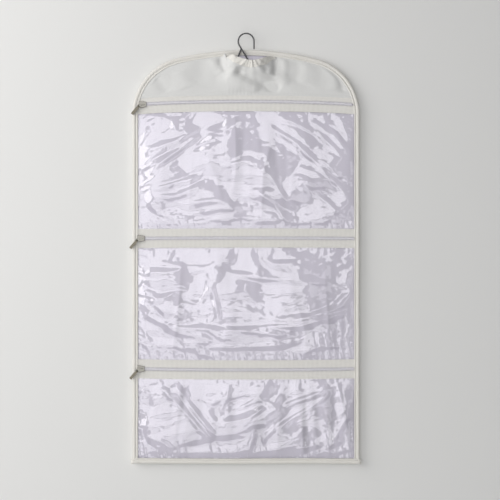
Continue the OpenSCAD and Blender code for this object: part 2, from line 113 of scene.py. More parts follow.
def mixColours(tree, kind, amount, first, second):
    mix = addNode(tree, "ShaderNodeMix", data_type="RGBA", blend_type=kind)
    for place, value in ((0, amount), (6, first), (7, second)):  # the inputs that a colour mix uses
        fillSocket(tree, mix.inputs[place], value)
    return mix.outputs[2]


def mixShaders(tree, amount, first, second):
    mix = addNode(tree, "ShaderNodeMixShader", Fac=amount)
    tree.links.new(first.outputs[0], mix.inputs[1])
    tree.links.new(second.outputs[0], mix.inputs[2])
    return mix.outputs[0]


def newFinish(name, roughness):
    mat = bpy.data.materials.new(name)
    mat.use_nodes = True
    shader = mat.node_tree.nodes["Principled BSDF"]
    shader.inputs["Roughness"].default_value = roughness
    return mat, mat.node_tree, shader


def setUpCamera():
    width = studio["pixelSize"] * studio["pictureSize"] * mm
    data = bpy.data.cameras.new("frontCamera")
    camera = bpy.data.objects.new("frontCamera", data)
    bpy.context.scene.collection.objects.link(camera)
    x, z = studio["middle"]
    camera.location = (x * mm, -studio["distance"] * mm, z * mm)
    camera.rotation_euler = (math.radians(90), 0, 0)
    data.sensor_width = studio["sensor"]
    data.lens = studio["sensor"] * (studio["distance"] * mm + studio["panelFront"] * mm) / width
    data.clip_end = 20
    bpy.context.scene.camera = camera
    bpy.context.scene.view_settings.view_transform = "Standard"


def softbox(name, place, size, power, colour):
    data = bpy.data.lights.new(name, "AREA")
    data.shape = "RECTANGLE"
    data.size, data.size_y = size
    data.energy = power
    data.color = colour
    lamp = bpy.data.objects.new(name, data)
    bpy.context.scene.collection.objects.link(lamp)
    lamp.visible_camera = False
    lamp.location = place
    aim = Vector(studio["lampAim"]) - Vector(place)
    lamp.rotation_euler = aim.to_track_quat("-Z", "Y").to_euler()


def roomFinish(name, oneSided):
    mat, tree, shader = newFinish(name, 0.9)
    shader.inputs["Specular IOR Level"].default_value = 0.1
    clouds = noiseNode(tree, objectPlace(tree), 3.0, 3.0)
    ramp = addNode(tree, "ShaderNodeValToRGB", Fac=clouds)
    ramp.color_ramp.elements[0].color = (*[c * studio["mottle"] for c in studio["wallColour"]], 1)
    ramp.color_ramp.elements[1].color = (*studio["wallColour"], 1)
    tree.links.new(ramp.outputs["Color"], shader.inputs["Base Color"])
    if oneSided:  # it shows from the front only, and takes shadows without giving any
        behind = addNode(tree, "ShaderNodeNewGeometry").outputs["Backfacing"]
        shadow = addNode(tree, "ShaderNodeLightPath").outputs["Is Shadow Ray"]
        hidden = mathNode(tree, "MAXIMUM", behind, shadow)
        clear = addNode(tree, "ShaderNodeBsdfTransparent")
        seen = mixShaders(tree, hidden, shader, clear)
        tree.links.new(seen, tree.nodes["Material Output"].inputs["Surface"])
    return mat


def roomPlane(name, finish, **placing):
    clearSelection()
    bpy.ops.mesh.primitive_plane_add(**placing)
    plane = bpy.context.object
    plane.name = name
    plane.data.materials.append(finish)
    return plane


def setUpRoom():
    wall = roomPlane("roomWall", roomFinish("paleWall", True), size=6,
                     location=(0, studio["wallBehind"] * mm, 0), rotation=(math.radians(90), 0, 0))
    floor = roomPlane("roomFloor", roomFinish("paleFloor", False), size=8,
                      location=(0, 0, studio["floorDrop"] * mm))
    world = bpy.data.worlds.new("paleRoom")
    bpy.context.scene.world = world
    world.use_nodes = True
    tree = world.node_tree
    tree.nodes.clear()
    ray = addNode(tree, "ShaderNodeLightPath").outputs
    seen = mathNode(tree, "MAXIMUM", ray["Is Camera Ray"], ray["Is Transmission Ray"])
    shiny = mathNode(tree, "MAXIMUM", seen, ray["Is Glossy Ray"])
    pale = addNode(tree, "ShaderNodeBackground", Color=(1.0, 1.0, 0.985, 1), Strength=studio["paleLevel"])
    sky = addNode(tree, "ShaderNodeBackground", Color=(0.97, 0.98, 1.0, 1), Strength=studio["skyLevel"])
    mix = mixShaders(tree, shiny, sky, pale)
    addNode(tree, "ShaderNodeOutputWorld", Surface=mix)
    for name, (place, size, power, colour) in studio["lamps"].items():
        softbox(name, place, size, power, colour)


setUpCamera()
setUpRoom()
print("stage: camera, room and lamps")

# sizes that the pieces share, in mm
panel = {
    "halfWidth": 187.5, "crownTop": -25.6, "bottom": -708.6,
    "crownRadius": 480.0, "shoulderRadius": 95.0,
    "tapeFront": 4.5, "vinylFront": 5.0, "liningFront": 6.5, "backFront": 7.74, "hem": -104.6,
    "middleY": 6.35,   # half-way between the front and the back of a binding
    "rimInset": 0.9,   # how far inside the outline the cloth ends
}
zips = {"top": -115.6, "middle": -336.6, "bottom": -551.6}  # z of the middle of each chain
zipRise = {"top": 5.0, "middle": 0.8, "bottom": -1.8}       # how far it bows up between its two ends
zipHalf = 172
# z of the seam below each window and of the one above it
windows = {"top": (-320.8, -131.4), "middle": (-535.8, -352.4), "bottom": (-699.6, -567.4)}
tapeWidth = 15.8
tapeGap = 1.5
shoulderX = panel["halfWidth"] - panel["shoulderRadius"]
crownCentre = panel["crownTop"] - panel["crownRadius"]
shoulderZ = crownCentre + math.sqrt((panel["crownRadius"] - panel["shoulderRadius"]) ** 2 - shoulderX ** 2)
shoulderTurn = math.atan2(shoulderZ - crownCentre, shoulderX)


def clamp(t):
    return min(1.0, max(0.0, t))


def smooth(t):
    t = clamp(t)
    return t * t * (3 - 2 * t)


def bell(distance, width):
    return math.exp(-(distance / width) ** 2)


def soft(x, z, longX, longZ, seed):  # a soft random height: where, the length of its waves, and which one
    return noise.noise(Vector((x / longX, z / longZ, seed * 7.31)))


def edgeHeight(x, inset):  # the outline's top over x
    if abs(x) < (panel["crownRadius"] - inset) * math.cos(shoulderTurn):
        return crownCentre + math.sqrt((panel["crownRadius"] - inset) ** 2 - x * x)
    return shoulderZ + math.sqrt(max(0, (panel["shoulderRadius"] - inset) ** 2 - (abs(x) - shoulderX) ** 2))


def edgeReach(z, inset):  # the outline's half width at z
    if z <= shoulderZ:
        return panel["halfWidth"] - inset
    return shoulderX + math.sqrt(max(0, (panel["shoulderRadius"] - inset) ** 2 - (z - shoulderZ) ** 2))


def zipBow(name, x):
    return zipRise[name] * max(0, 1 - (x / zipHalf) ** 2) ** 0.8


def foldHeight(x, z, folds):  # ridges drawn through given points: three points, a width and a height
    total = 0.0
    for points, width, height in folds:
        best, along = 1e9, 0.0
        for k in range(2):
            (ax, az), (bx, bz) = points[k], points[k + 1]
            dx, dz = bx - ax, bz - az
            t = clamp(((x - ax) * dx + (z - az) * dz) / (dx * dx + dz * dz))
            gap = math.hypot(x - ax - t * dx, z - az - t * dz)
            if gap < best:
                best, along = gap, (k + t) / 2
        if best < 3 * width:
            ridge = height * bell(best, width) * smooth(along * 5 + 0.2)
            total += ridge * smooth((1 - along) * 5 + 0.2)
    return total


def threads(tree, coords, axis, pitch):  # pitch in mm, on coordinates in metres
    wave = addNode(tree, "ShaderNodeTexWave", Vector=coords, Scale=0.314159 / (pitch * mm))
    wave.bands_direction = axis
    return wave.outputs["Fac"]


def bumpUp(tree, shader, height, strength, depth):
    bump = addNode(tree, "ShaderNodeBump", Height=height, Strength=strength, Distance=depth * mm)
    tree.links.new(bump.outputs["Normal"], shader.inputs["Normal"])


def roughen(tree, shader, grain, spread, start):  # the roughness follows the grain
    rough = mathNode(tree, "ADD", mathNode(tree, "MULTIPLY", grain, spread), start)
    tree.links.new(rough, shader.inputs["Roughness"])


def clothFinish(name, look):
    mat, tree, shader = newFinish(name, look["roughness"])
    shader.inputs["Sheen Weight"].default_value = look["sheen"]
    shader.inputs["Sheen Roughness"].default_value = 0.4
    shader.inputs["Specular IOR Level"].default_value = look["shine"]
    shader.inputs["Metallic"].default_value = look.get("silk", 0.0)
    cloth = addNode(tree, "ShaderNodeUVMap", uv_map="UVMap").outputs["UV"]
    place = objectPlace(tree)
    warp = threads(tree, cloth, "X", look["warp"])
    weft = threads(tree, cloth, "Y", look["weft"])
    if look["plain"]:
        weave = mathNode(tree, "MULTIPLY", warp, weft)
    else:  # ribs, with the weft low between them
        weave = mathNode(tree, "MAXIMUM", warp, mathNode(tree, "MULTIPLY", weft, 0.35))
    cloud = noiseNode(tree, place, look["cloudScale"], 4.0)
    slub = noiseNode(tree, cloth, 900.0, 2.0)
    # the weave's low spots get a darker colour: partly the threads' own tone, partly painted shade between
    # the threads and ribs
    light = (*look["colour"], 1)
    paintedWeaveShade = (*[c * look["shade"] for c in look["colour"]], 1)
    wovenWithPaintedShade = mixColours(tree, "MIX", weave, paintedWeaveShade, light)
    clouded = mathNode(tree, "MULTIPLY", cloud, look["cloud"])
    tone = mixColours(tree, "MULTIPLY", clouded, wovenWithPaintedShade, (*look["cloudTint"], 1))
    tree.links.new(tone, shader.inputs["Base Color"])
    roughen(tree, shader, slub, 0.12, look["roughness"] - 0.06)
    height = mathNode(tree, "ADD", weave, mathNode(tree, "MULTIPLY", slub, 0.5))
    bumpUp(tree, shader, height, look["bump"], look["depth"])
    return mat


def metalFinish(name, colour, roughness, brushed):
    mat, tree, shader = newFinish(name, roughness)
    shader.inputs["Metallic"].default_value = 1.0
    place = objectPlace(tree)
    smear = noiseNode(tree, place, 220.0, 4.0)
    fine = noiseNode(tree, place, brushed, 3.0)
    tone = mixColours(tree, "MIX", smear, (*[c * 0.9 for c in colour], 1), (*colour, 1))
    tree.links.new(tone, shader.inputs["Base Color"])
    roughen(tree, shader, smear, 0.14, roughness - 0.06)
    shader.inputs["Specular Tint"].default_value = (0.3, 0.29, 0.27, 1)  # plating darkens where it turns away
    bumpUp(tree, shader, fine, 0.08, 0.02)
    return mat


def vinylFinish():
    look = {"mirror": 0.064, "grazing": 0.9, "roughness": 0.085, "tint": (0.995, 0.993, 0.998)}
    mat, tree, shader = newFinish("clearVinyl", look["roughness"])
    shader.inputs["Base Color"].default_value = (0.96, 0.96, 0.97, 1)
    shader.inputs["Metallic"].default_value = 1.0
    place = objectPlace(tree)
    ripple = noiseNode(tree, place, 55.0, 2.0, 0.6)
    scuff = noiseNode(tree, place, 400.0, 4.0)
    bumpUp(tree, shader, ripple, 0.35, 0.5)
    roughen(tree, shader, scuff, 0.06, look["roughness"] - 0.03)
    slant = addNode(tree, "ShaderNodeLayerWeight", Blend=0.5).outputs["Facing"]
    grazing = mathNode(tree, "MULTIPLY", mathNode(tree, "POWER", slant, 5.0), look["grazing"])
    amount = mathNode(tree, "ADD", grazing, look["mirror"])
    clear = addNode(tree, "ShaderNodeBsdfTransparent", Color=(*look["tint"], 1))
    film = mixShaders(tree, amount, clear, shader)
    tree.links.new(film, tree.nodes["Material Output"].inputs["Surface"])
    return mat


def coilFinish():
    mat, tree, shader = newFinish("coilNylon", 0.32)
    shader.inputs["Coat Weight"].default_value = 0.25
    cloud = noiseNode(tree, objectPlace(tree), 160.0, 3.0)
    tone = mixColours(tree, "MIX", cloud, (0.74, 0.72, 0.78, 1), (0.86, 0.85, 0.89, 1))
    tree.links.new(tone, shader.inputs["Base Color"])
    bumpUp(tree, shader, cloud, 0.2, 0.05)
    return mat


def boardFinish():
    mat, tree, shader = newFinish("fibreBoard", 0.85)
    fibre = noiseNode(tree, objectPlace(tree), 700.0, 6.0, 1.2)
    tone = mixColours(tree, "MIX", fibre, (0.46, 0.41, 0.33, 1), (0.60, 0.55, 0.46, 1))
    tree.links.new(tone, shader.inputs["Base Color"])
    bumpUp(tree, shader, fibre, 0.3, 0.1)
    return mat


# warp and weft are the pitch of the threads and depth is their height, in mm; shade sets how dark the weave's
# low spots are painted, partly the threads' own tone and partly painted shade
headerNylon = clothFinish("headerNylon", {
    "colour": (0.70, 0.70, 0.69), "shade": 0.93, "warp": 0.55, "weft": 0.55, "plain": True, "roughness": 0.62,
    "sheen": 0.12, "shine": 0.3, "cloud": 0.5, "cloudScale": 24.0, "cloudTint": (0.95, 0.955, 0.95),
    "bump": 0.25, "depth": 0.12})
backNylon = clothFinish("backNylon", {
    "colour": (0.64, 0.645, 0.635), "shade": 0.92, "warp": 0.6, "weft": 0.6, "plain": True, "roughness": 0.66,
    "sheen": 0.1, "shine": 0.3, "cloud": 0.5, "cloudScale": 18.0, "cloudTint": (0.94, 0.945, 0.94),
    "bump": 0.3, "depth": 0.15})
bindingTape = clothFinish("bindingTape", {
    "colour": (0.79, 0.775, 0.74), "shade": 0.88, "warp": 0.9, "weft": 0.4, "plain": False, "roughness": 0.72,
    "sheen": 0.2, "shine": 0.25, "cloud": 0.8, "cloudScale": 40.0, "cloudTint": (0.93, 0.92, 0.89),
    "bump": 0.5, "depth": 0.2})
zipTape = clothFinish("zipTape", {
    "colour": (0.81, 0.795, 0.765), "shade": 0.76, "warp": 2.1, "weft": 0.5, "plain": False, "roughness": 0.7,
    "sheen": 0.15, "shine": 0.28, "cloud": 0.6, "cloudScale": 30.0, "cloudTint": (0.94, 0.935, 0.91),
    "bump": 0.6, "depth": 0.25})
satin = clothFinish("satinLining", {
    "colour": (0.508, 0.487, 0.552), "shade": 0.95, "warp": 0.25, "weft": 1.1, "plain": False,
    "roughness": 0.4, "sheen": 0.25, "shine": 0.55, "silk": 0.3, "cloud": 0.6, "cloudScale": 12.0,
    "cloudTint": (0.93, 0.92, 0.95), "bump": 0.1, "depth": 0.05})
webbing = clothFinish("webbing", {
    "colour": (0.68, 0.66, 0.61), "shade": 0.75, "warp": 1.6, "weft": 1.0, "plain": True, "roughness": 0.75,
    "sheen": 0.15, "shine": 0.25, "cloud": 0.5, "cloudScale": 60.0, "cloudTint": (0.93, 0.92, 0.9),
    "bump": 0.8, "depth": 0.3})
thread = clothFinish("sewingThread", {
    "colour": (0.76, 0.75, 0.71), "shade": 0.8, "warp": 0.35, "weft": 0.35, "plain": False, "roughness": 0.5,
    "sheen": 0.2, "shine": 0.4, "cloud": 0.4, "cloudScale": 80.0, "cloudTint": (0.94, 0.93, 0.9),
    "bump": 0.4, "depth": 0.08})
clearVinyl = vinylFinish()
coilNylon = coilFinish()
fibreBoard = boardFinish()
steelWire = metalFinish("polishedSteel", (0.075, 0.075, 0.08), 0.1, 300.0)
sliderMetal = metalFinish("platedZinc", (0.17, 0.165, 0.15), 0.14, 1200.0)
pullMetal = metalFinish("palePullMetal", (0.1, 0.092, 0.074), 0.09, 1100.0)
print("stage: finishes")


def clothSheet(name, columns, rows, place, cut):
    # a grid that is laid in place: place gives mm, cut gives the same spot on the flat cloth in mm
    clearSelection()
    bpy.ops.mesh.primitive_grid_add(x_subdivisions=columns, y_subdivisions=rows, size=1)
    piece = bpy.context.object
    piece.name = piece.data.name = name
    spots = [(v.co.x + 0.5, v.co.y + 0.5) for v in piece.data.vertices]
    for v, (a, b) in zip(piece.data.vertices, spots):
        v.co = Vector(place(a, b)) * mm
    flat = piece.data.uv_layers.active.data
    for loop in piece.data.loops:
        a, b = cut(*spots[loop.vertex_index])
        flat[loop.index].uv = (a * mm, b * mm)
    return piece


def useModifier(piece, kind, **settings):
    pick(piece)
    bpy.ops.object.modifier_add(type=kind)
    modifier = piece.modifiers[-1]
    for key, value in settings.items():
        setattr(modifier, key, value)
    bpy.ops.object.modifier_apply(modifier=modifier.name)


def thicken(piece, thickness):  # the laid face stays in front and the wall grows behind it
    useModifier(piece, "SOLIDIFY", thickness=thickness * mm, offset=-1.0, use_rim=True)


def finishPiece(piece, finish, nodes=(), angle=60):
    pick(piece)
    bpy.ops.object.transform_apply(location=True, rotation=True, scale=True)
    bpy.ops.object.shade_smooth_by_angle(angle=math.radians(angle))
    piece.data.materials.clear()
    piece.data.materials.append(finish)
    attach(piece, "organizer")
    if nodes:
        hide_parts(*nodes)


def faceOutwards(piece, unwrap=False):
    pick(piece)
    toMode("EDIT")
    bpy.ops.mesh.select_all(action="SELECT")
    bpy.ops.mesh.normals_make_consistent(inside=False)
    if unwrap:
        bpy.ops.uv.smart_project(angle_limit=1.15)
    toMode("OBJECT")


def oneStitch(length, thick):
    # a short thread: its middle half is full, and each end narrows and dips into the cloth
    clearSelection()
    bpy.ops.mesh.primitive_cylinder_add(vertices=6, radius=thick / 2 * mm, depth=length * 0.5 * mm,
                                        rotation=(0, math.radians(90), 0), end_fill_type="NGON")
    stitch = bpy.context.object
    bpy.ops.object.transform_apply(rotation=True)
    toMode("EDIT")
    for end in (-1, 1):
        bpy.ops.mesh.select_all(action="DESELECT")
        toMode("OBJECT")
        for face in stitch.data.polygons:
            face.select = face.normal.x * end > 0.9
        toMode("EDIT")
        bpy.ops.mesh.select_mode(type="FACE")
        dip = (end * length * 0.25 * mm, thick * 0.55 * mm, 0)
        bpy.ops.mesh.extrude_region_move(TRANSFORM_OT_translate={"value": dip})
        bpy.ops.transform.resize(value=(0.5, 0.5, 0.5))
    toMode("OBJECT")
    return stitch


def sewStitches(name, spots, length=2.9, thick=0.55):
    # spots are (point, direction, facing) in mm; facing is -1 on the front and 1 on the back
    model = oneStitch(length, thick)
    twins = []
    for point, along, facing in spots:
        twin = bpy.data.objects.new(name, model.data.copy())
        bpy.context.scene.collection.objects.link(twin)
        x = Vector((along[0], 0, along[1])).normalized()
        y = Vector((0, -facing, 0))
        z = x.cross(y)
        for v in twin.data.vertices:
            v.co = Vector(point) * mm + x * v.co.x + y * v.co.y + z * v.co.z
        twins.append(twin)
    clearSelection()
    for twin in twins:
        twin.select_set(True)
    bpy.context.view_layer.objects.active = twins[0]
    bpy.ops.object.join()
    bpy.data.objects.remove(model, do_unlink=True)
    row = bpy.context.object
    row.name = row.data.name = name
    faceOutwards(row, unwrap=True)
    finishPiece(row, thread)


def evenRun(points, spacing):
    # a line through the points in even steps: (x, z, direction x, direction z, distance)
    lengths = [0.0]
    for (ax, az), (bx, bz) in zip(points, points[1:]):
        lengths.append(lengths[-1] + math.hypot(bx - ax, bz - az))
    count = max(2, round(lengths[-1] / spacing))
    run, k = [], 0
    for i in range(count + 1):
        s = lengths[-1] * i / count
        while k < len(points) - 2 and lengths[k + 1] < s:
            k += 1
        (ax, az), (bx, bz) = points[k], points[k + 1]
        part = lengths[k + 1] - lengths[k]
        t = (s - lengths[k]) / part
        run.append((ax + (bx - ax) * t, az + (bz - az) * t, (bx - ax) / part, (bz - az) / part, s))
    return run


# the header's top edge dips at the hook, where its cloth is gathered forward of the hook's bar
neck = {
    "lowX": 9.0, "depth": 19.4, "left": 43.0, "right": 41.0, "leftReach": 32.0, "rightReach": 30.0,
    "inset": 9.5, "sag": 1.55,
    "gape": 18.0, "leftRise": 16.0, "leftSpread": 24.0, "rightRise": 30.0, "puff": 1.4,
}
headerLook = {
    "thickness": 0.42, "columns": 168, "rows": 64, "gather": 1.5, "wave": 0.9,
    "puffRim": 8.5, "foldRim": 8, "hemLap": 0.9, "hemDeep": 3.2, "hemLift": 0.34, "pucker": 0.6,
    "folds": [  # three points, width, height
        (((-44, -37), (-40, -50), (-34, -66)), 4.2, -2.6), (((-57, -38), (-51, -53), (-43, -70)), 7.5, 1.8),
        (((-31, -40), (-27, -54), (-22, -68)), 5.5, 0.8), (((-18, -58), (12, -74), (57, -96)), 10.0, -6.4),
        (((6, -57), (36, -68), (74, -84)), 8.0, 2.6), (((-34, -68), (-8, -84), (22, -99)), 11.0, 2.8),
        (((49, -40), (50, -54), (46, -72)), 4.2, -2.8), (((61, -38), (64, -55), (62, -76)), 6.5, 1.9),
        (((39, -42), (41, -56), (37, -70)), 4.5, 1.7), (((27, -50), (32, -60), (31, -68)), 4.0, -1.2),
        (((-14, -54), (-10, -62), (-12, -70)), 3.5, -1.0), (((-4, -57), (0, -66), (-2, -74)), 3.5, 0.9),
        (((150, -58), (158, -78), (160, -97)), 8.0, -1.9),
        (((134, -48), (146, -70), (150, -92)), 10.0, 1.6),
        (((-112, -58), (-104, -78), (-99, -94)), 13.0, 1.2),
        (((-150, -74), (-140, -84), (-128, -98)), 9.0, -1.2),
        (((-80, -42), (-76, -62), (-84, -86)), 14.0, -1.1),
        (((100, -44), (104, -66), (98, -88)), 14.0, 1.2),
        (((84, -42), (86, -60), (80, -84)), 9.0, -1.2)],
}


def neckEdge(x):
    reach = -neck["leftReach"] if x < neck["lowX"] else neck["rightReach"]
    low = panel["crownTop"] - neck["depth"]
    rise = edgeHeight(neck["lowX"] + reach, neck["inset"]) - low
    return min(low + rise * ((x - neck["lowX"]) / reach) ** neck["sag"], edgeHeight(x, neck["inset"]))


neckLeftX = neck["lowX"] - neck["left"]
neckRightX = neck["lowX"] + neck["right"]
hemReach = edgeReach(panel["hem"], 0.6) - 0.5


def headerTop(x):
    return neckEdge(x) if neckLeftX < x < neckRightX else edgeHeight(x, panel["rimInset"])


def headerFront(x, z):  # y of the header's front face
    puffRim, foldRim = headerLook["puffRim"], headerLook["foldRim"]
    up = z - panel["hem"]
    v = clamp(up / (headerTop(x) - panel["hem"]))
    spread = neck["leftSpread"] * (1 - v) ** 0.6  # the fold's left side opens out below the neck
    gape = neck["gape"] * smooth((x - neckLeftX + spread) / (neck["leftRise"] + spread))
    gape *= smooth((neckRightX - x) / neck["rightRise"])
    p = clamp(up / (edgeHeight(x, puffRim) - panel["hem"]))
    side = max(0, 1 - (x / (hemReach - puffRim)) ** 2)
    forward = gape * v ** 1.2 + neck["puff"] * 4 * p * (1 - p) * side
    inside = smooth((edgeHeight(x, foldRim) - z) / 10) * smooth((edgeReach(z, foldRim) - abs(x)) / 12)
    free = inside * smooth(up / 8)
    dx, dz = x - neck["lowX"], z - (panel["crownTop"] - 10)
    away, turn = math.hypot(dx, dz), math.atan2(dz, dx)
    gathers = headerLook["gather"] * noise.noise(Vector((turn * 5.2, away / 60, 3.3)))
    gathers = gathers * math.exp(-max(0, away - 20) / 22) * 1.5  # they fade away from the neck
    waves = headerLook["wave"] * (soft(x, z, 42, 30, 1) + 0.4 * soft(x, z, 15, 18, 2))
    pulled = 0.35 + 1.1 * bell(x + 12, 26) + 0.5 * soft(x, 0, 40, 20, 5)
    beat = math.sin(x * 1.05 + 2 * soft(x, 0, 20, 20, 4))
    pucker = headerLook["pucker"] * beat * math.exp(-up / 7) * pulled
    folds = free * (foldHeight(x, z, headerLook["folds"]) + gathers + waves) + pucker * smooth(up / 2)
    return min(panel["tapeFront"] - forward - folds, panel["liningFront"] - 0.7)  # ahead of the lining


def makeHeader():
    lap = headerLook["hemLap"]

    def place(a, b):
        x = -hemReach + 2 * hemReach * a
        z = panel["hem"] - lap + (headerTop(x) - panel["hem"] + lap) * b
        y = headerFront(x, max(z, panel["hem"]))
        turned = smooth((panel["hem"] + headerLook["hemDeep"] - z) / 1.2)  # the hem is two layers thick
        return x, y - headerLook["hemLift"] * turned, z + zipBow("top", x) * (1 - b) ** 0.6

    def cut(a, b):
        x = -hemReach + 2 * hemReach * a
        return x, (headerTop(x) - panel["hem"]) * b

    piece = clothSheet("headerFabric", headerLook["columns"], headerLook["rows"], place, cut)
    thicken(piece, headerLook["thickness"])
    finishPiece(piece, headerNylon, ["header_panel", "header_neck"])


neckTape = {
    "widen": 1.75, "thickness": 0.45, "spacing": 0.8, "crumple": 0.85, "cutWide": 24,
    "stitchDown": 3.4, "stitchFront": -0.72, "stitchPitch": 3.4, "stitchLong": 2.4, "stitchThick": 0.45,
}
neckProfile = [  # how far down from the edge, and y from the header's face
    (5.1, -0.35), (4.9, -0.62), (4.1, -0.78), (3.4, -0.6), (2.8, -0.85), (1.7, -1.0), (0.7, -0.95),
    (0.0, -0.55), (-0.35, 0.1), (0.0, 0.75), (0.8, 1.15), (2.2, 1.15), (3.4, 0.95), (4.6, 1.05), (5.0, 0.85)]


def neckTapeSpot(x, w, off):  # w is how far down from the edge, off how far from the header's face
    top = neckEdge(x)
    w *= 0.4 + neckTape["widen"] * smooth((x - neckLeftX) / 14) * smooth((neckRightX - x) / 16)
    s = x * 1.1
    z = top - w + neckTape["crumple"] * soft(s, w * 2, 7.0, 9.0, 11)
    crumple = soft(s + 0.8 * w, w * 2, 6.0, 8.0, 12) + 0.45 * soft(s, w * 3, 2.6, 6.0, 13)
    y = headerFront(x, min(top, z)) + off + neckTape["crumple"] * crumple * (1.3 if off < 0 else -0.3)
    return x, y, z


def makeNeckTape():
    first, last = neckLeftX + 1.5, neckRightX - 1.5
    columns = round((last - first) / neckTape["spacing"])
    rows = len(neckProfile) - 1
    piece = clothSheet("neckBinding", columns, rows,
                       lambda a, b: neckTapeSpot(first + (last - first) * a, *neckProfile[round(b * rows)]),
                       lambda a, b: ((last - first) * a, neckTape["cutWide"] * b))
    thicken(piece, neckTape["thickness"])
    finishPiece(piece, bindingTape, ["neck_binding"])
    down, front = neckTape["stitchDown"], neckTape["stitchFront"]
    spots = []
    x = first + 2
    while x < last - 2:
        px, py, pz = neckTapeSpot(x, down, front)
        qx, qy, qz = neckTapeSpot(x + 1, down, front)
        spots.append(((px, py - 0.05, pz), (qx - px, qz - pz), -1))
        x += neckTape["stitchPitch"]
    sewStitches("neckStitches", spots, neckTape["stitchLong"], neckTape["stitchThick"])


edgeTape = {
    "spacing": 1.25, "thickness": 0.4, "pucker": 0.22, "stitchPitch": 3.75, "lump": 0.3, "wander": 0.45,
    "end": -700.4, "seamFront": 4.2, "seamBack": 8.64,
}
edgeProfile = [  # how far in from the outline, and y: from the front, round the edge, to the back
    (9.0, 4.42), (9.0, 3.95), (8.6, 3.6), (7.8, 3.5), (7.0, 3.7), (6.4, 4.15), (5.95, 4.4), (5.5, 4.1),
    (4.9, 3.5), (3.9, 3.05), (2.6, 2.98), (1.35, 3.35), (0.5, 4.1), (0.05, 5.2), (0.0, 6.35), (0.05, 7.4),
    (0.5, 8.3), (1.4, 8.74), (2.6, 8.82), (4.2, 8.82), (5.4, 8.68), (5.9, 8.6), (6.3, 8.78), (7.4, 8.82),
    (8.2, 8.72), (8.5, 8.4)]
seamInset = 5.95
# the binding lies flat where the hook's wire passes in front of it
hookRoom = {"z": -30, "radius": 18, "fade": 12, "front": 3.86}


def outlineLine():
    line = [(-panel["halfWidth"], edgeTape["end"]), (-panel["halfWidth"], shoulderZ)]
    shoulder, crown, steps = panel["shoulderRadius"], panel["crownRadius"], 90
    for k in range(1, steps + 1):
        turn = math.pi - shoulderTurn * k / steps
        line.append((-shoulderX + shoulder * math.cos(turn), shoulderZ + shoulder * math.sin(turn)))
    for k in range(1, 2 * steps + 1):
        turn = math.pi - shoulderTurn - (math.pi - 2 * shoulderTurn) * k / (2 * steps)
        line.append((crown * math.cos(turn), crownCentre + crown * math.sin(turn)))
    for k in range(1, steps + 1):
        turn = shoulderTurn * (1 - k / steps)
        line.append((shoulderX + shoulder * math.cos(turn), shoulderZ + shoulder * math.sin(turn)))
    line.append((panel["halfWidth"], edgeTape["end"]))
    return line


def clearOfHook(away):  # 0 behind the hook, 1 away from it
    return smooth((away - hookRoom["radius"]) / hookRoom["fade"])


def foldedTape(name, run, profile, look, behindHook):
    # a tape folded round an edge: its profile swept along a run, puckered at the stitch line
    columns, rows = len(run) - 1, len(profile) - 1
    across = [0.0]
    for (aw, ay), (bw, by) in zip(profile, profile[1:]):
        across.append(across[-1] + math.hypot(bw - aw, by - ay))
    groove = seamInset / edgeProfile[0][0] * profile[0][0]

    def place(a, b):
        x, z, dx, dz, s = run[round(a * columns)]
        w, y = profile[round(b * rows)]
        front = -1 if y < panel["middleY"] else 1
        lift = look["pucker"] * math.sin(2 * math.pi * s / look["stitchPitch"]) * bell(w - groove, 1.7)
        lumps = soft(s, w * 4, 11, 9, 21) + 0.6 * soft(s, w * 4, 4.5, 6, 22)
        lift += look["lump"] * lumps * smooth(w / 1.5)
        if behindHook:  # rucked round the shoulders, and flat behind the hook
            curl = smooth((z + 190) / 60) * smooth((abs(x) - 95) / 25)
            lift += 0.2 * curl * math.sin(2 * math.pi * (s + 1.1 * w) / 6.5 + 2 * soft(s, 0, 25, 9, 25))
            if y <= panel["middleY"]:
                lift *= clearOfHook(math.hypot(x, z - hookRoom["z"]))
        y += front * lift
        wander = look["wander"] * soft(s, 0, 70, 9, 23) * (0.5 if w < 3 else 1)
        w = max(w + (wander + 0.15 * soft(s, w, 9, 9, 24) * smooth(w / 4)), -0.6)
        return x + dz * w, y, z - dx * w

    def cut(a, b):
        return run[round(a * columns)][4], across[round(b * rows)]

    return clothSheet(name, columns, rows, place, cut), run[-1][4], across[-1]


def makeEdgeTape():
    run = evenRun(outlineLine(), edgeTape["spacing"])
    piece, length, across = foldedTape("edgeBinding", run, edgeProfile, edgeTape, True)
    front, centre = hookRoom["front"], hookRoom["z"] * mm
    for v in piece.data.vertices:
        away = math.hypot(v.co.x, v.co.z - centre)
        if v.co.y < front * mm and away < (hookRoom["radius"] + hookRoom["fade"]) * mm:
            v.co.y = (front - (front - v.co.y / mm) * clearOfHook(away / mm)) * mm
    thicken(piece, edgeTape["thickness"])
    finishPiece(piece, bindingTape, ["edge_binding"])
    spots = []
    for x, z, dx, dz, s in evenRun(outlineLine(), edgeTape["stitchPitch"])[1:-1]:
        for facing, y in ((-1, edgeTape["seamFront"]), (1, edgeTape["seamBack"])):
            spots.append(((x + dz * seamInset, y, z - dx * seamInset), (dx, dz), facing))
    sewStitches("edgeStitches", spots)


bottomTape = {
    "spacing": 1.25, "thickness": 0.42, "pucker": 0.25, "stitchPitch": 3.75, "lump": 0.35, "wander": 0.5,
    "tail": 190.0, "widen": 1.02, "lap": 0.42, "droop": 0.9, "sway": 0.7, "pinch": 0.68,
    "stitchEnd": 184.0, "seamFront": 4.15, "seamBack": 8.68,
}


